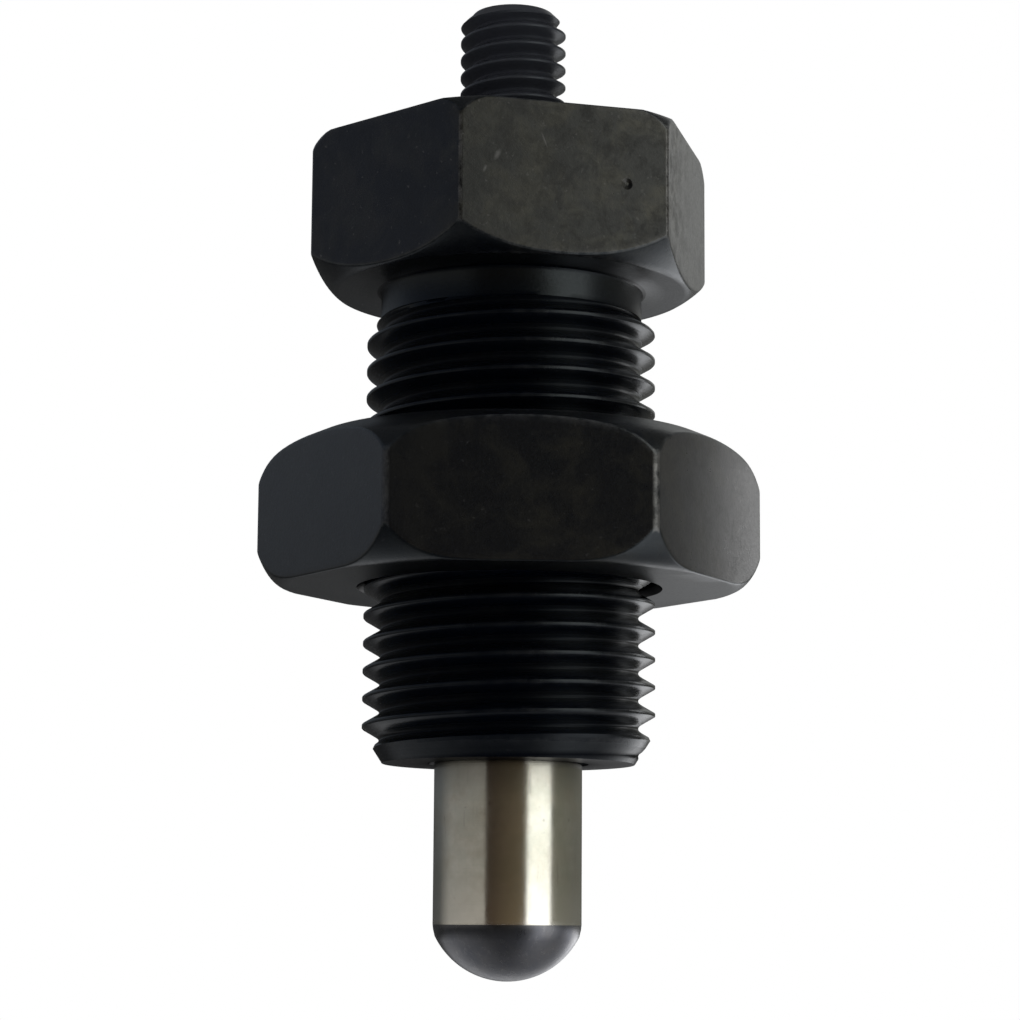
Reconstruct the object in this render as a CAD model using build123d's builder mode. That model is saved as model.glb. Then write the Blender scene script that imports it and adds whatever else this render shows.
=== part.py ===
from build123d import *

import os
from math import cos, isclose, radians

# Indexing plunger: a hexagon-headed threaded body, a sprung plunger pin and a lock nut.
#
# All sizes are in millimetres. Z is the common axis of every piece and points up, from the
# plunger's nose to its threaded end. Z = 0 is the lower face of the lock nut, the face that
# clamps on the fixture, so the fixture lies below it and the hexagon head above it.
# Screw threads are plain cylinders at their major diameter.

# Body: hexagon head, neck and threaded shank
body_thread_radius = 7.95
head_across_flats = 19.8
head_height = 8.2
head_low_corner_cut = 1.65
head_low_corner_drop = 1.45
head_high_corner_cut = 0.7
head_high_corner_drop = 1.0
head_corner_bulge = 0.1
shank_length = 26.0
neck_depth = 0.75
neck_length = 1.6
nose_chamfer_radial = 1.1
nose_chamfer_length = 1.7
mouth_chamfer = 0.3

# Lock nut
nut_across_flats = 24.0
nut_height = 8.0
nut_low_corner_cut = 1.6
nut_low_corner_drop = 2.0
nut_high_corner_cut = 3.0
nut_high_corner_drop = 2.6
nut_corner_bulge = 0.3
nut_turn = -13.5
nut_to_head = 8.45
nut_bore_clearance = 0.05
nut_countersink = 0.35

# Plunger pin
pin_radius = 4.0
pin_protrusion = 11.6
tip_length = 3.0
tip_dome_height = 2.38
tip_edge = 0.12
guide_length = 11.0
collar_step = 0.85
collar_height = 2.0
collar_chamfer = 0.3
stem_radius = 3.0
knob_thread_radius = 2.95
knob_thread_length = 6.8
knob_thread_chamfer = 0.7
undercut_depth = 0.6
undercut_length = 1.0

# Spring chamber and guide bush
chamber_clearance = 0.35
bush_seat_width = 0.8
bush_height = 4.0
bush_chamfer = 0.3

# Radial clearance of the pin in its guide bore and of the stem in its bush
running_clearance = 0.05

# Spring
wire_radius = 0.4
wire_to_wall = 0.45
active_coils = 3.5
end_coil_gap = 0.15
ground_depth = 0.3

# Heights on the axis
seat_z = nut_height + nut_to_head
head_top_z = seat_z + head_height
nose_z = seat_z - shank_length
chamber_floor_z = nose_z + guide_length
collar_top_z = chamber_floor_z + collar_height
bush_bottom_z = head_top_z - bush_height
tip_end_z = nose_z - pin_protrusion
tip_top_z = tip_end_z + tip_length
undercut_top_z = head_top_z + undercut_length
knob_end_z = undercut_top_z + knob_thread_length

# Radii that follow from others: each bore from what runs or sits in it
neck_radius = body_thread_radius - neck_depth
undercut_radius = knob_thread_radius - undercut_depth
collar_radius = pin_radius + collar_step
guide_bore_radius = pin_radius + running_clearance
chamber_radius = collar_radius + chamber_clearance
bush_radius = chamber_radius + bush_seat_width
bush_bore_radius = stem_radius + running_clearance
nut_bore_radius = body_thread_radius + nut_bore_clearance

os.makedirs("parts", exist_ok=True)


def turned_hexagon(
    across_flats, height, bottom_z, turn, low_cut, low_drop, high_cut, high_drop, bulge
):
    """Return a hexagon prism with its corners turned off to an arc at both ends.

    At each end the arc reaches in from the corners by its cut and along them by its drop, and
    stands out from its chord by the bulge.
    """
    corner_radius = across_flats / 2 / cos(radians(30))
    top_z = bottom_z + height
    low_rim = (corner_radius - low_cut, bottom_z)
    low_corner = (corner_radius, bottom_z + low_drop)
    high_corner = (corner_radius, top_z - high_drop)
    high_rim = (corner_radius - high_cut, top_z)
    with BuildPart() as hexagon:
        with BuildSketch(Plane.XY.offset(bottom_z)):
            RegularPolygon(across_flats / 2, 6, major_radius=False, rotation=turn)
        extrude(amount=height)
        with BuildSketch(Plane.XZ):
            with BuildLine():
                Line((0, bottom_z), low_rim)
                SagittaArc(low_rim, low_corner, -bulge)
                Line(low_corner, high_corner)
                SagittaArc(high_corner, high_rim, -bulge)
                Polyline(high_rim, (0, top_z), (0, bottom_z))
            make_face()
        revolve(axis=Axis.Z, mode=Mode.INTERSECT)
    return hexagon.part


# Body, one turned piece. The bore is stepped: guide bore, spring chamber, seat of the bush.
thread_start_z = seat_z - neck_length
thread_full_z = thread_start_z - (body_thread_radius - neck_radius)
head = turned_hexagon(
    head_across_flats,
    head_height,
    seat_z,
    0,
    head_low_corner_cut,
    head_low_corner_drop,
    head_high_corner_cut,
    head_high_corner_drop,
    head_corner_bulge,
)

with BuildPart() as body:
    add(head)
    with BuildSketch(Plane.XZ):
        with BuildLine():
            Polyline(
                (0, nose_z),
                (body_thread_radius - nose_chamfer_radial, nose_z),
                (body_thread_radius, nose_z + nose_chamfer_length),
                (body_thread_radius, thread_full_z),
                (neck_radius, thread_start_z),
                (neck_radius, seat_z),
                (0, seat_z),
                close=True,
            )
        make_face()
    revolve(axis=Axis.Z)
    with Locations((0, 0, head_top_z)):
        CounterBoreHole(
            chamber_radius, bush_radius, bush_height, depth=head_top_z - chamber_floor_z
        )
        Hole(guide_bore_radius)
    body_circles = body.edges().filter_by(GeomType.CIRCLE)
    nose_edges = body_circles.filter_by_position(Axis.Z, nose_z, nose_z)
    chamfer(nose_edges.sort_by(SortBy.RADIUS)[0], mouth_chamfer)
body.part.label = "body"
export_step(body.part, "parts/body.step")


# Plunger pin, one turned piece: domed tip, ground nose, collar, stem and knob thread.
tip_end = (0, tip_end_z)
dome_rim = (pin_radius - tip_edge, tip_end_z + tip_dome_height)

with BuildPart() as plunger_pin:
    with BuildSketch(Plane.XZ):
        with BuildLine():
            TangentArc(tip_end, dome_rim, tangent=(1, 0))
            Polyline(
                dome_rim,
                (pin_radius, tip_top_z),
                (pin_radius, chamber_floor_z),
                (collar_radius, chamber_floor_z),
                (collar_radius, collar_top_z),
                (stem_radius, collar_top_z),
                (stem_radius, head_top_z),
                (undercut_radius, head_top_z),
                (undercut_radius, undercut_top_z),
                (knob_thread_radius, undercut_top_z),
                (knob_thread_radius, knob_end_z),
                (0, knob_end_z),
                tip_end,
            )
        make_face()
    revolve(axis=Axis.Z)
    pin_circles = plunger_pin.edges().filter_by(GeomType.CIRCLE)
    collar_edges = pin_circles.filter_by_position(Axis.Z, collar_top_z, collar_top_z)
    end_edges = pin_circles.filter_by_position(Axis.Z, knob_end_z, knob_end_z)
    chamfer(collar_edges.sort_by(SortBy.RADIUS)[-1], collar_chamfer)
    chamfer(end_edges, knob_thread_chamfer)
plunger_pin.part.label = "plunger_pin"
export_step(plunger_pin.part, "parts/plunger_pin.step")


# Guide bush, pressed into the top of the body until it is flush with the head.
with BuildPart() as guide_bush:
    with BuildSketch(Plane.XY.offset(bush_bottom_z)):
        Circle(bush_radius)
        Circle(bush_bore_radius, mode=Mode.SUBTRACT)
    extrude(amount=bush_height)
    bush_edges = guide_bush.edges().filter_by(GeomType.CIRCLE)
    chamfer(bush_edges.group_by(SortBy.RADIUS)[0], bush_chamfer)
guide_bush.part.label = "guide_bush"
export_step(guide_bush.part, "parts/guide_bush.step")


# Spring between collar and bush. Each end coil is closed up and its wire is ground flat.
coil_radius = chamber_radius - wire_to_wall - wire_radius
end_coil_pitch = 2 * wire_radius + end_coil_gap
first_z = collar_top_z + wire_radius - ground_depth
last_z = bush_bottom_z - wire_radius + ground_depth
active_height = last_z - first_z - 2 * end_coil_pitch

with BuildPart() as spring:
    with BuildLine() as coil:
        Helix(end_coil_pitch, end_coil_pitch, coil_radius, (0, 0, first_z))
        Helix(
            active_height / active_coils,
            active_height,
            coil_radius,
            (0, 0, first_z + end_coil_pitch),
        )
        last_coil = Helix(
            end_coil_pitch,
            end_coil_pitch,
            coil_radius,
            (0, 0, last_z - end_coil_pitch),
            mode=Mode.PRIVATE,
        )
        add(last_coil.rotate(Axis.Z, 360 * active_coils))
    with BuildSketch(Plane(origin=coil.line @ 0, z_dir=coil.line % 0)):
        Circle(wire_radius)
    sweep(path=coil.line, is_frenet=True)
    with BuildSketch(Plane.XY.offset(collar_top_z)):
        Circle(chamber_radius)
    extrude(amount=bush_bottom_z - collar_top_z, mode=Mode.INTERSECT)
spring.part.label = "spring"
export_step(spring.part, "parts/spring.step")


# Lock nut. Its bore clears the body's thread, and both mouths are countersunk.
nut_blank = turned_hexagon(
    nut_across_flats,
    nut_height,
    0,
    nut_turn,
    nut_low_corner_cut,
    nut_low_corner_drop,
    nut_high_corner_cut,
    nut_high_corner_drop,
    nut_corner_bulge,
)

with BuildPart() as lock_nut:
    add(nut_blank)
    with Locations((0, 0, nut_height)):
        Hole(nut_bore_radius)
    nut_circles = lock_nut.edges().filter_by(GeomType.CIRCLE)
    mouth_edges = nut_circles.filter_by(lambda edge: isclose(edge.radius, nut_bore_radius))
    chamfer(mouth_edges, nut_countersink)
lock_nut.part.label = "lock_nut"
export_step(lock_nut.part, "parts/lock_nut.step")
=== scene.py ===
"""Looks of the indexing plunger: cut threads, worn black oxide, a ground pin and soft studio light."""

from collections import namedtuple
from math import atan2, cos, pi, radians, sin, tan

import bmesh
import bpy
import numpy as np
from mathutils import Matrix, Vector


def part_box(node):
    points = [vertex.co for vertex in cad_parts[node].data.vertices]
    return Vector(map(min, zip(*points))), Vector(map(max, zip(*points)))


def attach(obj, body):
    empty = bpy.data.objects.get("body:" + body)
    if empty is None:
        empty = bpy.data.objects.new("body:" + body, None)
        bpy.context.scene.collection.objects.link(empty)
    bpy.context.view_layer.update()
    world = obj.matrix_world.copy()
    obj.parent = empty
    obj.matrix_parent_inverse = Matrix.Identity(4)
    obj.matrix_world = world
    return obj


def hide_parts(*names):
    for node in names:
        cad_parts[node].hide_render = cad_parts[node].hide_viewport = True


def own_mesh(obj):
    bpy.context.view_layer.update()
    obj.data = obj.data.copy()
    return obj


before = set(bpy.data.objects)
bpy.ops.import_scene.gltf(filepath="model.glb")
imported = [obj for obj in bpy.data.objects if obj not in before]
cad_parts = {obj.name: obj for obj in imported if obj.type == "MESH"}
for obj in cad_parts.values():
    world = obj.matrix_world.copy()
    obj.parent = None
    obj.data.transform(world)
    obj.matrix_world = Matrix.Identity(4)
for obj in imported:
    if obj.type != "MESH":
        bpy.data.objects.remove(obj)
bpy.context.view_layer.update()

mm = 0.001
full_turn = 2 * pi

# ---------------------------------------------------------------- sizes of the plunger

# Heights on the axis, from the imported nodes
body_low, body_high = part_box("body")
pin_low, pin_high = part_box("plunger_pin")
bush_low, bush_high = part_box("guide_bush")
spring_low, spring_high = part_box("spring")
nut_low, nut_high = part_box("lock_nut")

# How a hexagon's corners are turned off: inwards by the cut and along the corner by the drop, a
# straight share of it evenly and the rest rolling off towards the corner as that power. The rub
# is the wear of the edge round it.
Turning = namedtuple("Turning", "cut drop straight roll rub")

# Body
body_thread_radius = 7.95 * mm
body_thread_pitch = 1.5 * mm
body_crest_z = 0.71 * mm
head_across_flats = 19.8 * mm
head_height = 8.2 * mm
head_low_turning = Turning(1.65 * mm, 1.45 * mm, 0.63, 2, 0.4)
head_high_turning = Turning(0.7 * mm, 1.0 * mm, 0.30, 2, 0.3)
head_corner_round = 0.25 * mm
neck_radius = 7.2 * mm
neck_length = 1.6 * mm
neck_fillet = 0.25 * mm
nose_face_radius = 6.85 * mm
nose_chamfer_length = 1.7 * mm
guide_bore_radius = 4.05 * mm
mouth_chamfer = 0.3 * mm
chamber_radius = 5.2 * mm
guide_length = 11.0 * mm

# Lock nut
nut_across_flats = 24.0 * mm
nut_low_turning = Turning(1.6 * mm, 2.0 * mm, 0.15, 2.4, 0.0)
nut_high_turning = Turning(3.0 * mm, 2.6 * mm, 0.50, 6, 0.25)
nut_turn = radians(-13.5)
nut_corner_round = 0.5 * mm
nut_bore_radius = 8.0 * mm
nut_countersink = 0.35 * mm

# Plunger pin
pin_radius = 4.0 * mm
tip_length = 3.0 * mm
tip_dome_height = 2.38 * mm
tip_edge = 0.12 * mm
collar_radius = 4.85 * mm
collar_chamfer = 0.3 * mm
stem_radius = 3.0 * mm
undercut_radius = 2.35 * mm
knob_thread_radius = 2.95 * mm
knob_thread_pitch = 1.0 * mm
knob_crest_z = 31.34 * mm
knob_thread_length = 6.8 * mm
knob_thread_chamfer = 0.7 * mm

# Spring
wire_radius = 0.4 * mm
coil_radius = 4.35 * mm
active_coils = 3.5
end_coil_pitch = 0.95 * mm
ground_depth = 0.3 * mm

# Rounding of the edges that hands and spanners have worn
edge_down = 0.13 * mm
edge_in = 0.09 * mm
edge_support = 0.25 * mm

# Wear of the threads' crests and of the pin's own edges, and the painted shade that dulls the neck's
# corners
crest_wear = 0.15
pin_edge_wear = 0.3
corner_shade = -0.6

# The standard's depth of an outside thread, in pitches, and the slope of its flanks. Then the
# meshes: what is a crease, what is one point, and how fine they are.
thread_depth = 0.6134
flank_slope = tan(pi / 3)
crease_angle = radians(42)
weld_distance = 0.0005 * mm
pin_sides = 120
dome_rings = 20
turning_rings = 11
turning_crowding = 0.8

seat_z = body_high.z - head_height
thread_end_z = seat_z - neck_length
nose_z = body_low.z
chamber_floor_z = nose_z + guide_length

# ---------------------------------------------------------------- mesh helpers


def mesh_object(name, points, faces):
    mesh = bpy.data.meshes.new(name)
    mesh.from_pydata(points, [], faces)
    thing = bpy.data.objects.new(name, mesh)
    bpy.context.scene.collection.objects.link(thing)
    return thing


def finish_mesh(mesh, weld=None):
    """Join points nearer than the weld, turn the faces outwards and keep only the creases sharp."""
    shape = bmesh.new()
    shape.from_mesh(mesh)
    if weld:
        bmesh.ops.remove_doubles(shape, verts=shape.verts, dist=weld)
        bmesh.ops.dissolve_degenerate(shape, edges=shape.edges, dist=weld)
    bmesh.ops.recalc_face_normals(shape, faces=shape.faces)
    shape.to_mesh(mesh)
    shape.free()
    mesh.shade_smooth()
    mesh.set_sharp_from_angle(angle=crease_angle)


def ring_faces(rings, columns, seam=0):
    """Faces of a skin of rings, each joined to the next. A ring's last point joins the first point
    of the ring `seam` further on."""
    index = np.arange(rings * columns).reshape(-1, columns)
    ahead = np.roll(index, -1, axis=1)
    ahead[:, -1] = np.roll(index[:, 0], -seam)
    faces = np.stack([index[:-1], ahead[:-1], ahead[1:], index[1:]], -1)
    last = len(faces) - seam
    return np.concatenate([faces[:last].reshape(-1, 4), faces[last:, :-1].reshape(-1, 4)])


class Draft:
    """Skins of a piece while it is put together. Each skin is rings of points, and each point
    has a value from 0, untouched, to 1, rubbed bright, or down to -1, where its shine is dulled as painted
    shade."""

    def __init__(self, angles):
        self.angles = angles
        self.points, self.faces, self.wear_and_shade = [], [], []

    def add(self, radii, heights, wear_and_shade, seam=0):
        """Add a skin of rings with a radius, height and wear at each angle."""
        radii, heights, wear_and_shade = np.broadcast_arrays(radii, heights, wear_and_shade)
        skin = np.stack([radii * np.cos(self.angles), radii * np.sin(self.angles), heights], -1)
        first = sum(len(block) for block in self.points)
        self.points.append(skin.reshape(-1, 3))
        self.wear_and_shade.append(wear_and_shade.reshape(-1))
        self.faces.append(first + ring_faces(len(skin), len(self.angles), seam))

    def add_rings(self, rings):
        """Add a skin of (radius, height, wear) rings, each one number or one for every angle."""
        shape = np.zeros(len(self.angles))
        self.add(*(np.array([shape + ring[part] for ring in rings]) for part in range(3)))

    def piece(self, name):
        """The skins as one closed mesh object."""
        thing = mesh_object(name, np.concatenate(self.points), np.concatenate(self.faces).tolist())
        wear_and_shade = thing.data.attributes.new("wear_and_shade", "FLOAT", "POINT")
        wear_and_shade.data.foreach_set("value", np.concatenate(self.wear_and_shade).astype(np.float32))
        finish_mesh(thing.data, weld_distance)
        return thing


def round_angles(count):
    return np.arange(count) * full_turn / count


def hexagon(across_flats, turn, corner_round, flat_steps=14, corner_steps=4):
    """Angles, radii and corner wear round a hexagon with rounded corners, seen from above."""
    half_width = across_flats / 2
    half_flat = (half_width - corner_round) * tan(pi / 6)
    along = half_flat * np.sin(pi / 2 * np.linspace(-1, 1, 2 * flat_steps + 1))
    swing = np.linspace(0, pi / 3, corner_steps + 2)[1:-1]
    corner = complex(half_width - corner_round, half_flat)
    flat = half_width + 1j * along
    bend = corner + corner_round * np.exp(1j * swing)
    side = np.concatenate([flat, bend])
    side_wear = np.concatenate([np.zeros(len(flat)), np.ones(len(bend))])
    outline = np.concatenate([side * np.exp(1j * (turn + k * pi / 3)) for k in range(6)])
    order = np.argsort(np.angle(outline) % full_turn)
    outline = outline[order]
    return np.angle(outline) % full_turn, np.abs(outline), np.tile(side_wear, 6)[order]


def turned_drop(radius, corner_radius, turning):
    """How far the turned-off corner lies below the end face at a radius."""
    share = np.clip(1 + (radius - corner_radius) / turning.cut, 0, None)
    return turning.drop * (turning.straight * share + (1 - turning.straight) * share**turning.roll)


def end_rings(reach, corner_wear, across_flats, turning, from_radius):
    """Rings (radius, drop, wear) from a circle on a hexagon's end face out over its worn edge."""
    corner_radius = across_flats / 2 / cos(pi / 6)
    rim = corner_radius - turning.cut
    inner = np.array([from_radius, (from_radius + rim) / 2, rim - edge_support])
    across = np.linspace(0, 1, turning_rings) ** turning_crowding
    stations = np.concatenate([inner, rim + turning.cut * across])
    edge_reach = reach - edge_in
    rings = []
    for station in stations:
        radius = np.minimum(station, edge_reach)
        rub = turning.rub / 2 if station == rim else 0
        rings.append((radius, turned_drop(radius, corner_radius, turning), rub))
    start = np.array([edge_reach, rings[-1][1]])
    edge = np.array([reach, turned_drop(reach, corner_radius, turning)])
    end = edge + [[0], [edge_down]]
    for share in (0.25, 0.5, 0.75):
        bend = (1 - share) ** 2 * start + 2 * share * (1 - share) * edge + share**2 * end
        rings.append((*bend, np.maximum(turning.rub, corner_wear)))
    rings.append((*end, np.maximum(turning.rub / 2, corner_wear)))
    rings.append((end[0], end[1] + edge_support, corner_wear))
    return rings


def hexagon_rings(reach, corner_wear, across_flats, low, high, low_z, high_z, low_start, high_start):
    """Rings (radius, height, wear) up the outside of a hexagon, from its lower to its upper face."""
    lower = end_rings(reach, corner_wear, across_flats, low, low_start)
    upper = end_rings(reach, corner_wear, across_flats, high, high_start)
    middle = (reach, (low_z + high_z) / 2, corner_wear)
    return [
        *((radius, low_z + drop, wear_and_shade) for radius, drop, wear_and_shade in lower),
        middle,
        *((radius, high_z - drop, wear_and_shade) for radius, drop, wear_and_shade in reversed(upper)),
    ]


class Thread:
    """A right-hand metric thread with flat crests and rounded roots, cut back to the radius that
    its envelope gives at each height."""

    def __init__(self, major, pitch, crest_z, envelope):
        self.major, self.pitch, self.crest_z, self.envelope = major, pitch, crest_z, envelope
        self.depth = thread_depth * pitch
        # Half the flat crest, half the rounded root and how far the crest's edge is eased
        self.crest_half = pitch / 16
        self.round_half = pitch / 6
        self.ease = 0.012 * pitch

    def from_crest(self, angles, heights):
        """Distance along the axis from the nearest crest."""
        turns = (heights - self.crest_z) / self.pitch - angles / full_turn
        return np.abs((turns + 0.5) % 1 - 0.5) * self.pitch

    def radius(self, angles, heights):
        """The thread's radius at an angle and height."""
        from_root = self.pitch / 2 - self.from_crest(angles, heights)
        in_root = np.clip(from_root / self.round_half, 0, 1)
        above_root = flank_slope * np.where(
            in_root < 1, self.round_half * in_root**2 / 2, from_root - self.round_half / 2
        )
        return np.minimum(self.major - np.clip(self.depth - above_root, 0, None), self.envelope(heights))

    def rows_on_one_side(self):
        """Distances from a crest at which the mesh has a row."""
        crest, root, rounding = self.crest_half, self.pitch / 2, self.round_half
        flank = (crest + root - rounding) / 2
        into_root = [root - share * rounding for share in (1, 0.6, 0.3)]
        return [crest - self.ease, crest + self.ease, flank, *into_root]

    def add_to(self, draft, low, high):
        """Add the thread's skin between two heights, bright at its crests, and with its shine dulled in its
        roots as painted shade.
        """
        side = self.rows_on_one_side()
        one_pitch = np.array([*(-row for row in reversed(side)), 0, *side, self.pitch / 2])
        # The rows climb a pitch in a turn, so they start and end beyond the two heights.
        first = int((low - self.crest_z) // self.pitch) - 2
        last = int((high - self.crest_z) // self.pitch) + 2
        rows = np.concatenate([self.crest_z + k * self.pitch + one_pitch for k in range(first, last + 1)])
        rise = self.pitch * draft.angles / full_turn
        heights = np.clip(rows[:, None] + rise[None, :], low, high)
        radii = self.radius(draft.angles[None, :], heights)
        beside = self.from_crest(draft.angles[None, :], heights)
        rubbed = np.clip(1 - (beside - self.crest_half) / (3 * self.ease), 0, 1)
        # Painted shade: the roots' shine is dulled, where the flanks shade them.
        root_shade = np.clip(1 - (self.pitch / 2 - beside) / self.round_half, 0, 1)
        wear_and_shade = crest_wear * rubbed - root_shade
        draft.add(radii, heights, wear_and_shade, seam=len(one_pitch))


# ---------------------------------------------------------------- pieces


def build_body():
    """Hexagon head, neck, threaded shank and stepped bore, as one closed skin."""
    angles, reach, corner_wear = hexagon(head_across_flats, pi / 6, head_corner_round)
    draft = Draft(angles)
    lead = (body_thread_radius - nose_face_radius) / nose_chamfer_length

    def envelope(height):
        nose = nose_face_radius + lead * (height - nose_z)
        neck = neck_radius + (thread_end_z - height)
        return np.minimum(body_thread_radius, np.minimum(nose, neck))

    thread = Thread(body_thread_radius, body_thread_pitch, body_crest_z, envelope)
    thread.add_to(draft, nose_z, thread_end_z)
    outside = hexagon_rings(
        reach, corner_wear, head_across_flats, head_low_turning, head_high_turning,
        seat_z, body_high.z, neck_radius + neck_fillet, bush_high.x,
    )
    draft.add_rings([
        (thread.radius(angles, thread_end_z), thread_end_z, 0),
        # Painted shade: the neck's two corners are dulled, at the thread and under the head.
        (neck_radius, thread_end_z, corner_shade),
        (neck_radius, thread_end_z + neck_fillet, 0),
        (neck_radius, seat_z - neck_fillet, 0),
        (neck_radius + 0.3 * neck_fillet, seat_z - 0.3 * neck_fillet, corner_shade),
        *outside,
        (bush_high.x, bush_low.z, 0),
        (chamber_radius, bush_low.z, 0),
        (chamber_radius, chamber_floor_z, 0),
        (guide_bore_radius, chamber_floor_z, 0),
        # Painted shade: the bore's mouth is dulled.
        (guide_bore_radius, nose_z + mouth_chamfer, -1),
        (guide_bore_radius + mouth_chamfer, nose_z, -1),
        (nose_face_radius, nose_z, 0),
    ])
    return draft.piece("body_threaded")


def build_lock_nut():
    """Hexagon nut with turned corners and a countersunk bore that clears the thread."""
    angles, reach, corner_wear = hexagon(nut_across_flats, pi / 6 + nut_turn, nut_corner_round)
    draft = Draft(angles)
    mouth = nut_bore_radius + nut_countersink
    outside = hexagon_rings(
        reach, corner_wear, nut_across_flats, nut_low_turning, nut_high_turning,
        nut_low.z, nut_high.z, mouth, mouth,
    )
    draft.add_rings([
        *outside,
        # Painted shade: the nut's bore is dulled.
        (nut_bore_radius, nut_high.z - nut_countersink, -1),
        (nut_bore_radius, nut_low.z + nut_countersink, -1),
        outside[0],
    ])
    return draft.piece("lock_nut_worn")


def build_plunger_pin():
    """Domed tip, ground shaft, collar, stem and knob thread."""
    draft = Draft(round_angles(pin_sides))
    tip_z, end_z = pin_low.z, pin_high.z
    rim_radius = pin_radius - tip_edge
    dome_radius = (rim_radius**2 + tip_dome_height**2) / 2 / tip_dome_height
    dome_angles = np.linspace(0, atan2(rim_radius, dome_radius - tip_dome_height), dome_rings)
    dome = [(dome_radius * sin(angle), tip_z + dome_radius * (1 - cos(angle)), 0) for angle in dome_angles]
    undercut_top_z = end_z - knob_thread_length

    def envelope(height):
        lead_in = undercut_radius + (height - undercut_top_z)
        chamfer = knob_thread_radius - knob_thread_chamfer + (end_z - height)
        return np.minimum(knob_thread_radius, np.minimum(lead_in, chamfer))

    thread = Thread(knob_thread_radius, knob_thread_pitch, knob_crest_z, envelope)
    draft.add_rings([
        *dome,
        (pin_radius - 0.25 * tip_edge, tip_z + tip_length - edge_support, 0),
        (pin_radius, tip_z + tip_length, pin_edge_wear),
        (pin_radius, tip_z + tip_length + edge_support, 0),
        (pin_radius, chamber_floor_z, 0),
        (collar_radius, chamber_floor_z, 0),
        (collar_radius, spring_low.z - collar_chamfer, 0),
        (collar_radius - collar_chamfer, spring_low.z, 0),
        (stem_radius, spring_low.z, 0),
        (stem_radius, body_high.z, 0),
        (undercut_radius, body_high.z, 0),
        (thread.radius(draft.angles, undercut_top_z), undercut_top_z, 0),
    ])
    thread.add_to(draft, undercut_top_z, end_z)
    draft.add_rings([(thread.radius(draft.angles, end_z), end_z, pin_edge_wear), (0, end_z, 0)])
    return draft.piece("plunger_pin_ground")


def build_spring():
    """Compression spring whose end coils are closed and ground flat."""
    sides, steps_per_turn = 14, 60
    first_z = spring_low.z + wire_radius - ground_depth
    last_z = spring_high.z - wire_radius + ground_depth
    coils = active_coils + 2
    turns = np.linspace(0, coils, int(coils * steps_per_turn) + 1)
    knees = [0, 1, 1 + active_coils, coils]
    heights = np.interp(turns, knees, [first_z, first_z + end_coil_pitch, last_z - end_coil_pitch, last_z])
    slope = np.gradient(heights, turns) / full_turn / coil_radius
    swing = full_turn * turns
    outward = np.stack([np.cos(swing), np.sin(swing), 0 * swing], -1)
    forward = np.stack([-np.sin(swing), np.cos(swing), slope], -1)
    upward = np.cross(outward, forward / np.linalg.norm(forward, axis=1)[:, None])
    centres = coil_radius * outward + heights[:, None] * [0, 0, 1]
    round_wire = round_angles(sides)[None, :, None]
    skin = centres[:, None] + wire_radius * (
        np.cos(round_wire) * outward[:, None] + np.sin(round_wire) * upward[:, None]
    )
    skin[..., 2] = np.clip(skin[..., 2], spring_low.z, spring_high.z)
    points = skin.reshape(-1, 3)
    faces = ring_faces(len(turns), sides).tolist()
    faces.append(list(range(sides)))
    faces.append([len(points) - 1 - step for step in range(sides)])
    thing = mesh_object("spring_coiled", points, faces)
    finish_mesh(thing.data)
    return thing


# ---------------------------------------------------------------- materials


class Nodes:
    """Short ways to add nodes to a material or world, which starts with none."""

    def __init__(self, block):
        block.use_nodes = True
        self.tree = block.node_tree
        self.tree.nodes.clear()

    def node(self, kind, inputs=(), **settings):
        """A new node. Each input is a value or the socket that feeds it."""
        made = self.tree.nodes.new(kind)
        for key, value in settings.items():
            setattr(made, key, value)
        for key, value in dict(inputs).items():
            if isinstance(value, bpy.types.NodeSocket):
                self.tree.links.new(value, made.inputs[key])
            else:
                made.inputs[key].default_value = value
        return made

    def range(self, value, low, high, to_low=0.0, to_high=1.0):
        """A value between low and high turned into one between to_low and to_high."""
        inputs = {"Value": value, "From Min": low, "From Max": high, "To Min": to_low, "To Max": to_high}
        return self.node("ShaderNodeMapRange", inputs, clamp=True).outputs["Result"]

    def math(self, operation, first, second=0.0):
        return self.node("ShaderNodeMath", {0: first, 1: second}, operation=operation).outputs["Value"]

    def times(self, first, second):
        return self.math("MULTIPLY", first, second)

    def plus(self, first, second):
        return self.math("ADD", first, second)

    def mix(self, share, first, second):
        """The first colour with a share of the second."""
        inputs = {0: share, 6: first, 7: second}
        return self.node("ShaderNodeMix", inputs, data_type="RGBA").outputs[2]

    def length(self, vector):
        return self.node("ShaderNodeVectorMath", {0: vector}, operation="LENGTH").outputs["Value"]

    def place(self):
        """The point in the plunger's frame."""
        return self.node("ShaderNodeTexCoord").outputs["Object"]


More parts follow.
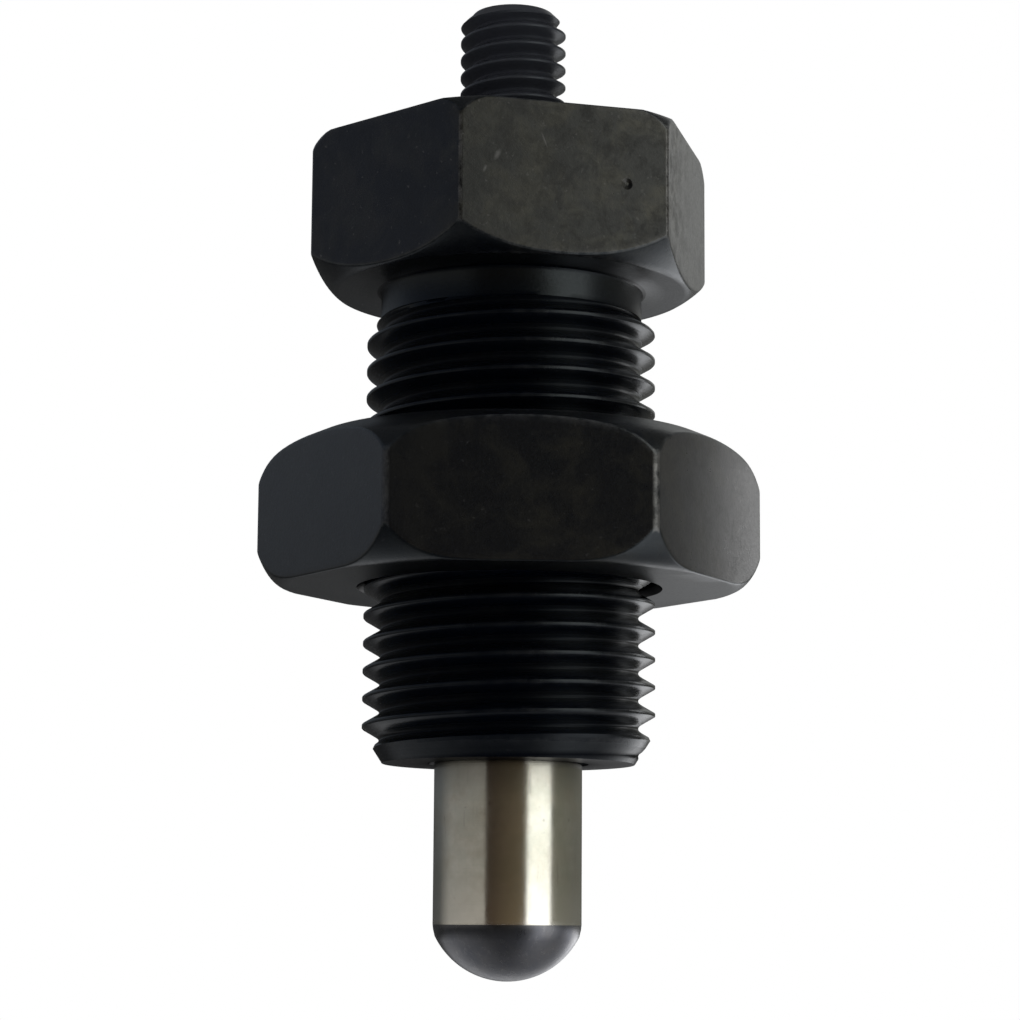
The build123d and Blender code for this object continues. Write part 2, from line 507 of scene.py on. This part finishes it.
class Shader(Nodes):
    """A material with one Principled shader."""

    def __init__(self, name):
        self.material = bpy.data.materials.new(name)
        super().__init__(self.material)
        self.surface = self.node("ShaderNodeBsdfPrincipled")
        self.node("ShaderNodeOutputMaterial", {"Surface": self.surface.outputs["BSDF"]})

    def stretched(self, place, scale):
        """The point scaled along each axis, so that a pattern is drawn out along the smallest."""
        return self.node("ShaderNodeMapping", {"Vector": place, "Scale": scale}).outputs["Vector"]

    def turned(self, place):
        """The point as radius and height, so that a pattern runs round the axis."""
        parts = self.node("ShaderNodeSeparateXYZ", {"Vector": place}).outputs
        squares = [self.times(parts[axis], parts[axis]) for axis in ("X", "Y")]
        radius = self.math("SQRT", self.plus(*squares))
        return self.node("ShaderNodeCombineXYZ", {"X": radius, "Z": parts["Z"]}).outputs["Vector"]

    def noise(self, place, scale, detail=3.0, roughness=0.55, distortion=0.0):
        """Noise with `scale` cells to the metre."""
        inputs = {"Vector": place, "Scale": scale, "Detail": detail}
        inputs |= {"Roughness": roughness, "Distortion": distortion}
        return self.node("ShaderNodeTexNoise", inputs).outputs["Fac"]

    def along(self, place, direction):
        """How far the point lies along a direction from the axis."""
        made = self.node("ShaderNodeVectorMath", {0: place, 1: direction}, operation="DOT_PRODUCT")
        return made.outputs["Value"]

    def mark(self, place, spot, width, length, tilt=0.0):
        """Distance from a spot on the face towards -Y, as a share of an upright oval's half sizes."""
        inputs = {"Vector": place, "Location": spot, "Rotation": (0, tilt, 0)}
        inputs["Scale"] = (width, mark_depth, length)
        return self.length(self.node("ShaderNodeMapping", inputs, vector_type="TEXTURE").outputs["Vector"])

    def wear_and_shade(self):
        """How worn the point is, or below 0 how far its shine is dulled as painted shade, as Draft gave it.
        """
        return self.node("ShaderNodeAttribute", attribute_name="wear_and_shade").outputs["Fac"]

    def bump(self, height, distance, normal=None):
        """Relief as deep as the distance, on top of the relief of another bump."""
        inputs = {"Height": height, "Distance": distance}
        if normal is not None:
            inputs["Normal"] = normal
        return self.node("ShaderNodeBump", inputs).outputs["Normal"]

    def drive(self, socket, source):
        self.tree.links.new(source, self.surface.inputs[socket])


# The side on which spanners have rubbed the oxide most, and the side that hands have stained
worn_side = (cos(radians(-62)), sin(radians(-62)), 0)
stained_side = (cos(radians(-75)), sin(radians(-75)), 0)

# A mark on a face reaches this far into the piece and no further, so that the far side has none.
mark_depth = 2 * mm


def grey(level, warmth=0.0):
    """A linear colour, redder for a positive warmth and bluer for a negative one."""
    return (level * (1 + warmth), level, level * (1 - warmth), 1.0)


olive_stain = (0.0185, 0.0165, 0.0085, 1)
brown_blotch = (0.0045, 0.0040, 0.0030, 1)
pale_speck = grey(0.06, 0.04)
bare_steel = grey(0.16, 0.02)


def rubbed_oxide(shader, place, scrapes):
    """How far the oxide is rubbed through: in patches, most on the worn side, and in each scrape."""
    patchy = shader.range(shader.noise(place, 1500, 4, 0.7), 0.38, 0.62)
    handled = shader.range(shader.along(place, worn_side), 5 * mm, 11 * mm, 0.15, 1.0)
    rubbed = shader.times(shader.range(shader.wear_and_shade(), 0, 1), handled)
    rubbed = shader.times(rubbed, patchy)
    for spot, width, length, tilt in scrapes:
        oval = shader.mark(place, spot, width, length, tilt)
        rubbed = shader.math("MAXIMUM", rubbed, shader.range(oval, 0.2, 1.0, 0.5, 0.0))
    return rubbed


def oxide_relief(shader, place, grain, turned, pits):
    """Fine grain, struck pits, and the marks of the tool, which run round the axis if turned."""
    relief = shader.bump(grain, 0.006 * mm)
    for spot, radius in pits:
        dent = shader.range(shader.mark(place, spot, radius, radius), 0.3, 1.0)
        relief = shader.bump(dent, 0.09 * mm, relief)
    cut = shader.noise(shader.turned(place) if turned else place, 9000, 2, 0.5)
    return shader.bump(cut, 0.004 * mm if turned else 0.002 * mm, relief)


def black_oxide(
    name, turned=False, shine=0.6, stains=1.0, roughness=(0.27, 0.42), dark=(0.0010, 0.0013, 0.0020),
    tint=(1, 1, 1), rim=1.0, scrapes=(), pits=(),
):
    """Dull black oxide on steel, stained olive, speckled and rubbed through at its edges. The tint
    is its shine's colour, and the rim is the share of the shine left where it is seen edge on."""
    shader = Shader(name)
    place = shader.place()
    touched = shader.range(shader.along(place, stained_side), 6.5 * mm, 10.5 * mm, 0.25 * stains, stains)
    stain = shader.times(shader.range(shader.noise(place, 330, 6, 0.68, 0.4), 0.44, 0.60), touched)
    blotch = shader.times(shader.range(shader.noise(place, 950, 6, 0.72, 0.4), 0.44, 0.62), touched)
    speck = shader.range(shader.noise(place, 3600, 2, 0.5), 0.68, 0.76)
    grain = shader.noise(place, 5200, 3, 0.6)
    rubbed = rubbed_oxide(shader, place, scrapes)

    colour = shader.mix(stain, (*dark, 1), olive_stain)
    colour = shader.mix(shader.times(blotch, 0.6), colour, brown_blotch)
    colour = shader.mix(shader.times(speck, 0.4 * stains), colour, pale_speck)
    shader.drive("Base Color", shader.mix(shader.times(rubbed, 0.8), colour, bare_steel))
    shader.drive("Metallic", shader.times(rubbed, 0.7))
    dull = shader.plus(shader.times(blotch, 0.6), grain)
    shader.drive("Roughness", shader.range(dull, 0.3, 1.2, *roughness))

    filmed = shader.range(blotch, 0, 1, shine, 0.66 * shine)
    # Painted shade: where Draft's value falls below 0 the shine is dulled, down to a tenth at -1.
    shine_left_by_painted_shade = shader.range(shader.wear_and_shade(), -1, 0, 0.1, 1)
    edge_on = shader.node("ShaderNodeLayerWeight", {"Blend": 0.5}).outputs["Facing"]
    kept = shader.times(shine_left_by_painted_shade, shader.range(edge_on, 0.5, 0.9, 1.0, rim))
    shader.drive("Specular IOR Level", shader.times(filmed, kept))
    shader.surface.inputs["Specular Tint"].default_value = (*tint, 1)
    shader.drive("Normal", oxide_relief(shader, place, grain, turned, pits))
    return shader.material


# The ground shaft is painted brighter up from the tip's line, as painted light, and darker below the nose,
# as painted shade where the body shades it.
shaft_steel = (0.68, 0.66, 0.61, 1)
yellowed_steel = (0.55, 0.52, 0.44, 1)
greenish_steel = (0.56, 0.57, 0.51, 1)
painted_light_steel = (0.80, 0.77, 0.72, 1)
painted_shade_grey = (0.17, 0.165, 0.15, 1)
grey_scuff = grey(0.34, 0.05)
brown_pit = grey(0.25, 0.08)
painted_light_length = 2.5 * mm
painted_shade_length = 2.2 * mm
painted_shade_fade_end = 0.2 * mm


def ground_steel():
    """Bright steel ground round the axis, faintly stained and streaked along by its guide."""
    shader = Shader("ground_steel")
    place = shader.place()
    lines = shader.turned(place)
    stain = shader.range(shader.noise(place, 420, 5, 0.62), 0.36, 0.66)
    tint = shader.range(shader.noise(place, 900, 4, 0.6, 0.5), 0.38, 0.62)
    streak = shader.noise(shader.stretched(place, (1, 1, 0.10)), 4200, 4, 0.65)
    rings = shader.noise(lines, 14000, 3, 0.6)
    wide_rings = shader.noise(lines, 1800, 2, 0.5)
    ripple = shader.noise(shader.stretched(place, (1, 1, 0.6)), 800, 3, 0.55)
    scuff = shader.range(streak, 0.60, 0.74)
    pit = shader.range(shader.noise(place, 3000, 2, 0.5), 0.70, 0.76)

    colour = shader.mix(stain, shaft_steel, yellowed_steel)
    colour = shader.mix(shader.times(tint, 0.5), colour, greenish_steel)
    colour = shader.mix(shader.times(scuff, 0.45), colour, grey_scuff)
    colour = shader.mix(shader.times(pit, 0.35), colour, brown_pit)
    height = shader.node("ShaderNodeSeparateXYZ", {"Vector": place}).outputs["Z"]
    line_z = pin_low.z + tip_length
    # Painted light: the shaft is painted brighter just above the tip's line, fading upwards.
    painted_light_near_tip = shader.range(height, line_z, line_z + painted_light_length, 0.9, 0.0)
    colour = shader.mix(painted_light_near_tip, colour, painted_light_steel)
    # Painted shade: the shaft is darkened just below the nose, where the body shades it.
    painted_shade_below_nose = shader.range(height, nose_z - painted_shade_length, nose_z - painted_shade_fade_end, 0.0, 0.65)
    shader.drive("Base Color", shader.mix(painted_shade_below_nose, colour, painted_shade_grey))
    shader.surface.inputs["Metallic"].default_value = 1.0
    dull = shader.plus(shader.plus(rings, stain), shader.times(streak, 0.6))
    shader.drive("Roughness", shader.range(dull, 0.6, 1.9, 0.12, 0.24))

    relief = shader.bump(rings, 0.0012 * mm)
    relief = shader.bump(ripple, 0.006 * mm, relief)
    shader.drive("Normal", shader.bump(wide_rings, 0.0015 * mm, relief))
    return shader.material


blue_tip = (0.165, 0.170, 0.190, 1)
grey_tip = (0.210, 0.208, 0.215, 1)
tip_streak = grey(0.32, 0.02)


def hardened_tip():
    """The pin's tip, dark from hardening and faintly streaked along."""
    shader = Shader("hardened_tip")
    place = shader.place()
    mottle = shader.range(shader.noise(place, 700, 4, 0.6), 0.35, 0.7)
    rings = shader.noise(shader.turned(place), 7000, 2, 0.5)
    streak = shader.noise(shader.stretched(place, (1, 1, 0.25)), 3600, 4, 0.7)
    colour = shader.mix(mottle, blue_tip, grey_tip)
    colour = shader.mix(shader.range(streak, 0.56, 0.72, 0, 0.4), colour, tip_streak)
    shader.drive("Base Color", colour)
    shader.surface.inputs["Metallic"].default_value = 1.0
    shader.drive("Roughness", shader.range(streak, 0.35, 0.65, 0.34, 0.26))
    relief = shader.bump(streak, 0.003 * mm)
    shader.drive("Normal", shader.bump(rings, 0.003 * mm, relief))
    return shader.material


grey_wire = (0.42, 0.42, 0.43, 1)
brown_wire = (0.34, 0.32, 0.29, 1)


def spring_steel():
    """Drawn spring wire with fine marks round the plunger's axis."""
    shader = Shader("spring_steel")
    place = shader.place()
    marks = shader.noise(shader.turned(place), 8000, 3, 0.6)
    tint = shader.range(shader.noise(place, 500, 3, 0.6), 0.3, 0.7)
    shader.drive("Base Color", shader.mix(tint, grey_wire, brown_wire))
    shader.surface.inputs["Metallic"].default_value = 1.0
    shader.drive("Roughness", shader.range(marks, 0.3, 0.7, 0.28, 0.4))
    shader.drive("Normal", shader.bump(marks, 0.002 * mm))
    return shader.material


def paint(thing, materials, choose):
    """Give each face the one of the materials that `choose` returns for its centre and normal."""
    thing.data.materials.clear()
    for material in materials:
        thing.data.materials.append(material)
    for polygon in thing.data.polygons:
        polygon.material_index = materials.index(choose(polygon.center, polygon.normal))


def upright(normal):
    """Whether a face runs along the axis, and not across it."""
    return abs(normal.z) < 0.1


# ---------------------------------------------------------------- the plunger

# Scrapes and a struck pit on the head's front face: place, half width, half length and tilt
head_front_y = -head_across_flats / 2
head_scrapes = (
    ((-3.70 * mm, head_front_y, 21.5 * mm), 0.16 * mm, 0.40 * mm, radians(28)),
    ((-4.37 * mm, head_front_y, 20.7 * mm), 0.10 * mm, 0.24 * mm, radians(20)),
    ((-1.15 * mm, head_front_y, 22.5 * mm), 0.06 * mm, 0.50 * mm, radians(-22)),
)
head_pits = (((3.40 * mm, head_front_y, 20.5 * mm), 0.32 * mm),)

blue_black = (0.0003, 0.0010, 0.0031)
nut_black = (0.0006, 0.0016, 0.0042)
stud_grey = (0.0235, 0.0250, 0.0315)
blue_shine = (0.85, 0.945, 1)
turned_blue = {"turned": True, "dark": blue_black, "tint": blue_shine}
turned_grey = {"turned": True, "dark": stud_grey, "tint": blue_shine}
thread_gloss = (0.22, 0.34)
stud_gloss = (0.32, 0.45)
oxide_head = black_oxide("black_oxide_head", scrapes=head_scrapes, pits=head_pits)
oxide_nut = black_oxide("black_oxide_nut", stains=0.4, dark=nut_black)
oxide_turned = black_oxide("black_oxide_turned", shine=0.63, stains=0.3, **turned_blue)
oxide_shank = black_oxide("black_oxide_shank", shine=0.4, stains=0.2, rim=0.1, **turned_blue)
oxide_cut = black_oxide("black_oxide_threads", shine=0.3, stains=0.1, roughness=thread_gloss, **turned_blue)
oxide_stud = black_oxide("black_oxide_stud", shine=0.3, stains=0.2, roughness=stud_gloss, **turned_grey)
# A shaded copy of the oxide with hardly any shine, as painted shade in the bores and the nut's countersink.
oxide_bore_shaded = black_oxide("black_oxide_bore_painted_shade", turned=True, shine=0.1, stains=0.1, dark=blue_black, rim=0.0)
shaft_finish = ground_steel()
tip_finish = hardened_tip()


def body_finish(centre, normal):
    """Milled flats, turned faces, thread, neck and chamfered nose, and the pin's bore, dulled as painted
    shade.
    """
    reach = centre.xy.length
    if reach < guide_bore_radius + mouth_chamfer:
        return oxide_bore_shaded
    on_neck = thread_end_z < centre.z < seat_z and reach > chamber_radius
    if on_neck or centre.z < nose_z + nose_chamfer_length / 2:
        return oxide_shank
    if reach > neck_radius and centre.z < thread_end_z:
        return oxide_cut
    return oxide_head if reach > body_thread_radius and upright(normal) else oxide_turned


def nut_finish(centre, normal):
    """Milled flats, turned faces, and the tapped bore and its countersink, dulled as painted shade."""
    if centre.xy.length < nut_bore_radius + nut_countersink:
        return oxide_bore_shaded
    return oxide_nut if upright(normal) else oxide_turned


def pin_finish(centre, normal):
    """Tip, ground shaft and collar, the stem that the bush keeps free of dust, and the knob thread."""
    if centre.z < pin_low.z + tip_length:
        return tip_finish
    if centre.z < spring_low.z:
        return shaft_finish
    return oxide_turned if centre.z < bush_low.z else oxide_stud


body = build_body()
paint(body, [oxide_head, oxide_turned, oxide_cut, oxide_shank, oxide_bore_shaded], body_finish)
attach(body, "housing")
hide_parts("body")

lock_nut = build_lock_nut()
paint(lock_nut, [oxide_nut, oxide_turned, oxide_bore_shaded], nut_finish)
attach(lock_nut, "nut")
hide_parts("lock_nut")

guide_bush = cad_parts["guide_bush"]
guide_bush.data.materials.clear()
guide_bush.data.materials.append(oxide_turned)

plunger_pin = build_plunger_pin()
paint(plunger_pin, [shaft_finish, tip_finish, oxide_stud, oxide_turned], pin_finish)
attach(plunger_pin, "plunger")
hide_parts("plunger_pin")

# The spring moves with the pin, on a mesh of its own.
spring = build_spring()
spring.data.materials.append(spring_steel())
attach(spring, "plunger")
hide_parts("spring")
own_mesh(spring)

# ---------------------------------------------------------------- camera

camera_distance = 150.6 * mm
camera_azimuth = radians(-106.24)
camera_height = -18.13 * mm
camera_pitch = radians(8.496)
camera_roll = radians(-0.41)
camera_lens = 97.96
camera_sensor = 36
camera_clip_start = 5 * mm

camera_data = bpy.data.cameras.new("camera")
camera_data.sensor_width = camera_sensor
camera_data.lens = camera_lens
camera_data.clip_start = camera_clip_start
camera = bpy.data.objects.new("camera", camera_data)
bpy.context.scene.collection.objects.link(camera)
toward = Vector((-cos(camera_azimuth), -sin(camera_azimuth), tan(camera_pitch))).normalized()
look = toward.to_track_quat("-Z", "Y").to_matrix().to_4x4()
camera_x, camera_y = camera_distance * cos(camera_azimuth), camera_distance * sin(camera_azimuth)
camera_place = Matrix.Translation(Vector((camera_x, camera_y, camera_height)))
camera.matrix_world = camera_place @ look @ Matrix.Rotation(-camera_roll, 4, "Z")
bpy.context.scene.camera = camera

# ---------------------------------------------------------------- studio

# Directions are turned from the camera's: positive is to its right.
tent_radius = 320 * mm
floor_z = pin_low.z - 40 * mm
floor_radius = 1.4
floor_sides = 64
card_bottom, card_top = -60 * mm, 300 * mm
card_rows, card_steps = 6, 10

# The heights between which a standing card's light changes: where the pin mirrors it and where
# the hexagons do
low_band = (-22 * mm, 60 * mm)
high_band = (5 * mm, 100 * mm)


def studio_direction(azimuth):
    """Unit vector from the axis, level, turned from the camera's side to its right."""
    angle = camera_azimuth + azimuth
    return Vector((cos(angle), sin(angle), 0))


def stage_mesh(name, points, faces, material):
    """A mesh of the studio, which is no part of the plunger."""
    thing = mesh_object(name, points, faces)
    thing.data.materials.append(material)
    return thing


def grid_faces(columns, rows):
    """Faces of a grid whose points run up one column after the other."""
    return [
        (low, low + rows, low + rows + 1, low + 1)
        for column in range(columns - 1)
        for low in range(column * rows, column * rows + rows - 1)
    ]


def card_glow():
    """Glow of the colour painted on a card's points."""
    material = bpy.data.materials.new("card_glow")
    nodes = Nodes(material)
    light = nodes.node("ShaderNodeAttribute", attribute_name="light").outputs["Color"]
    glow = nodes.node("ShaderNodeEmission", {"Color": light}).outputs["Emission"]
    nodes.node("ShaderNodeOutputMaterial", {"Surface": glow})
    return material


def card(name, corners, faces, lights):
    """A card that glows in its points' colours. It shows only in what the plunger mirrors."""
    thing = stage_mesh(name, corners, faces, card_material)
    light = thing.data.attributes.new("light", "FLOAT_COLOR", "POINT")
    light.data.foreach_set("color", [part for colour in lights for part in (*colour, 1)])
    thing.visible_camera = False
    thing.visible_diffuse = False
    thing.visible_shadow = False


def standing_card(name, left, right, band=low_band):
    """A curved card round the plunger, from one side to the other. Each side is the azimuth and
    light at the foot of the band, then those at its head."""
    heights = [card_bottom, *np.linspace(*band, card_rows), card_top]
    rises = np.clip((np.array(heights) - band[0]) / (band[1] - band[0]), 0, 1)
    corners, lights = [], []
    for across in np.linspace(0, 1, card_steps + 1):
        for height, rise in zip(heights, rises):
            edges = [(1 - rise) * np.array(side[0]) + rise * np.array(side[1]) for side in (left, right)]
            azimuth, *light = (1 - across) * edges[0] + across * edges[1]
            corners.append(studio_direction(radians(azimuth)) * tent_radius + Vector((0, 0, height)))
            lights.append(light)
    card(name, corners, grid_faces(card_steps + 1, len(heights)), lights)


def lying_card(name, spokes, radii, height, steps=5):
    """A card that lies round the plunger. Each spoke is an azimuth, then the light at each radius."""
    azimuths = [spoke[0] for spoke in spokes]
    fine = np.interp(np.arange(steps * (len(spokes) - 1) + 1) / steps, np.arange(len(spokes)), azimuths)
    corners, lights = [], []
    for azimuth in fine:
        for ring, radius in enumerate(radii, start=1):
            corners.append(studio_direction(radians(azimuth)) * radius + Vector((0, 0, height)))
            lights.append(np.interp(azimuth, azimuths, [spoke[ring] for spoke in spokes]) * lying_tint)
    card(name, corners, grid_faces(len(fine), len(radii)), lights)


def soft_box(name, spot, target, width, height, colour, level):
    """A rectangular lamp of an even brightness, given as the level at which it shows in a mirror."""
    data = bpy.data.lights.new(name, "AREA")
    data.shape = "RECTANGLE"
    data.size, data.size_y = width, height
    data.color = colour
    data.energy = level * pi * width * height
    lamp = bpy.data.objects.new(name, data)
    lamp.location = spot
    lamp.rotation_euler = (Vector(target) - Vector(spot)).to_track_quat("-Z", "Y").to_euler()
    lamp.visible_camera = False
    bpy.context.scene.collection.objects.link(lamp)


card_material = card_glow()

# Each side of a standing card: azimuth, red, green and blue at the band's foot, then at its head
behind = ((-180, 0.06, 0.06, 0.06), (-180, 0.05, 0.055, 0.06))
behind_left = ((-128, 0.07, 0.07, 0.065), (-122, 0.28, 0.31, 0.35))
left = ((-100, 0.36, 0.35, 0.32), (-90, 0.13, 0.15, 0.20))
left_front = ((-34, 0.42, 0.40, 0.355), (-34, 0.10, 0.11, 0.13))
front_left = ((-34, 0.052, 0.035, 0.024), (-34, 0.025, 0.026, 0.028))
front_right = ((27, 0.165, 0.130, 0.080), (40, 0.05, 0.05, 0.045))
right = ((71, 0.19, 0.19, 0.15), (71, 0.13, 0.13, 0.125))
far_right = ((125, 0.16, 0.16, 0.14), (130, 0.17, 0.17, 0.165))
behind_right = ((150, 0.15, 0.15, 0.13), (156, 0.74, 0.75, 0.73))
behind_far = ((180, 0.06, 0.06, 0.06), (180, 0.05, 0.055, 0.06))
standing_card("card_behind_left", behind, behind_left)
standing_card("card_left", behind_left, left)
standing_card("card_left_front", left, left_front)
standing_card("card_front", front_left, front_right)
standing_card("card_right", right, far_right, high_band)
standing_card("card_far_right", far_right, behind_right, high_band)
standing_card("card_behind_right", behind_right, behind_far, high_band)

# The table: dark below and in front, lit by the window on the right and open behind
table_z = floor_z + 1 * mm
lying_tint = np.array([0.99, 0.995, 1.015])
table_radii = [radius * mm for radius in (1, 20, 55, 95, 140, 320)]
table_spokes = (
    (-180, 0.15, 0.30, 0.72, 0.70, 0.06, 0.04),
    (-120, 0.15, 0.30, 0.50, 0.38, 0.03, 0.06),
    (-75, 0.15, 0.30, 0.26, 0.10, 0.03, 0.06),
    (-35, 0.14, 0.12, 0.08, 0.05, 0.04, 0.03),
    (35, 0.14, 0.12, 0.08, 0.05, 0.04, 0.03),
    (52, 0.15, 0.30, 1.00, 1.20, 1.30, 1.40),
    (66, 0.15, 0.40, 0.80, 1.20, 1.30, 1.40),
    (95, 0.15, 0.42, 0.30, 0.20, 0.25, 0.25),
    (118, 0.15, 0.38, 0.32, 0.70, 1.20, 0.60),
    (150, 0.15, 0.30, 0.46, 1.00, 2.60, 1.60),
    (180, 0.15, 0.30, 0.72, 0.70, 0.30, 0.15),
)
lying_card("table", table_spokes, table_radii, table_z)
ceiling_spokes = ((-180, 0.10, 0.06), (180, 0.10, 0.06))
lying_card("ceiling", ceiling_spokes, (1 * mm, tent_radius), card_top, steps=36)

# A slip of paper close by on the right brightens the far end of the nut's right face. Each spot is
# how many mm it stands towards the camera and to the right, and its light.
paper_low_z, paper_high_z = -4 * mm, 14 * mm
paper_spots = ((-4.6, 21.9, 1.6), (-9, 26, 2.6), (-28, 42, 2.6))
paper_corners, paper_lights = [], []
for nearer, to_right, light in paper_spots:
    for height in (paper_low_z, paper_high_z):
        spot = studio_direction(0) * nearer * mm + studio_direction(pi / 2) * to_right * mm
        paper_corners.append(spot + Vector((0, 0, height)))
        paper_lights.append((light, light, light))
card("side_paper", paper_corners, grid_faces(len(paper_spots), 2), paper_lights)

window_spot = studio_direction(radians(49)) * 300 * mm + Vector((0, 0, 60 * mm))
window_target = window_spot * 0.1
window_width, window_height = 218 * mm, 360 * mm
window_colour, window_level = (0.97, 1.0, 0.87), 0.75
soft_box("window", window_spot, window_target, window_width, window_height, window_colour, window_level)

overhead_spot, overhead_target = (0, 0, 450 * mm), (0, 0, 5 * mm)
overhead_side = 500 * mm
overhead_colour, overhead_level = (1, 1, 1), 1.0
soft_box(
    "overhead", overhead_spot, overhead_target, overhead_side, overhead_side,
    overhead_colour, overhead_level,
)


def seen_rays(nodes):
    """1 for what the camera sees, straight on, mirrored or through glass, and 0 for soft light."""
    rays = nodes.node("ShaderNodeLightPath").outputs
    seen = rays["Is Camera Ray"]
    for kind in ("Is Glossy Ray", "Is Transmission Ray"):
        seen = nodes.math("MAXIMUM", seen, rays[kind])
    return seen


# The floor's diffuse grey, the radii between which it fades from paper to plain white, the share
# of white where that begins, and the world's brightness as soft light
paper_grey = 0.85
fade_start, fade_end = 80 * mm, 300 * mm
white_at_start = 0.35
soft_light = 0.7


def floor_paper():
    """White paper that keeps the plunger's shadow near it, fades to plain white further out and
    doesn't show from below."""
    material = bpy.data.materials.new("floor_paper")
    nodes = Nodes(material)

    def either(share, first, second):
        inputs = {"Fac": share, 1: first, 2: second}
        return nodes.node("ShaderNodeMixShader", inputs).outputs["Shader"]

    paper = nodes.node("ShaderNodeBsdfDiffuse", {"Color": (paper_grey, paper_grey, paper_grey, 1)})
    white = nodes.node("ShaderNodeEmission")
    clear = nodes.node("ShaderNodeBsdfTransparent")
    below = nodes.node("ShaderNodeNewGeometry").outputs["Backfacing"]
    fade = nodes.range(nodes.length(nodes.place()), fade_start, fade_end, white_at_start)
    above = either(nodes.times(fade, seen_rays(nodes)), paper.outputs["BSDF"], white.outputs["Emission"])
    nodes.node("ShaderNodeOutputMaterial", {"Surface": either(below, above, clear.outputs["BSDF"])})
    return material


def white_world():
    """White to look at, and a little dimmer as soft light."""
    world = bpy.data.worlds.new("studio")
    nodes = Nodes(world)
    strength = nodes.range(seen_rays(nodes), 0, 1, soft_light, 1)
    glow = nodes.node("ShaderNodeBackground", {"Color": (1, 1, 1, 1), "Strength": strength})
    nodes.node("ShaderNodeOutputWorld", {"Surface": glow.outputs["Background"]})
    return world


floor_points = [
    (floor_radius * cos(angle), floor_radius * sin(angle), floor_z) for angle in round_angles(floor_sides)
]
stage_mesh("floor", floor_points, [tuple(range(floor_sides))], floor_paper())
bpy.context.scene.world = white_world()
bpy.context.scene.view_settings.view_transform = "Standard"
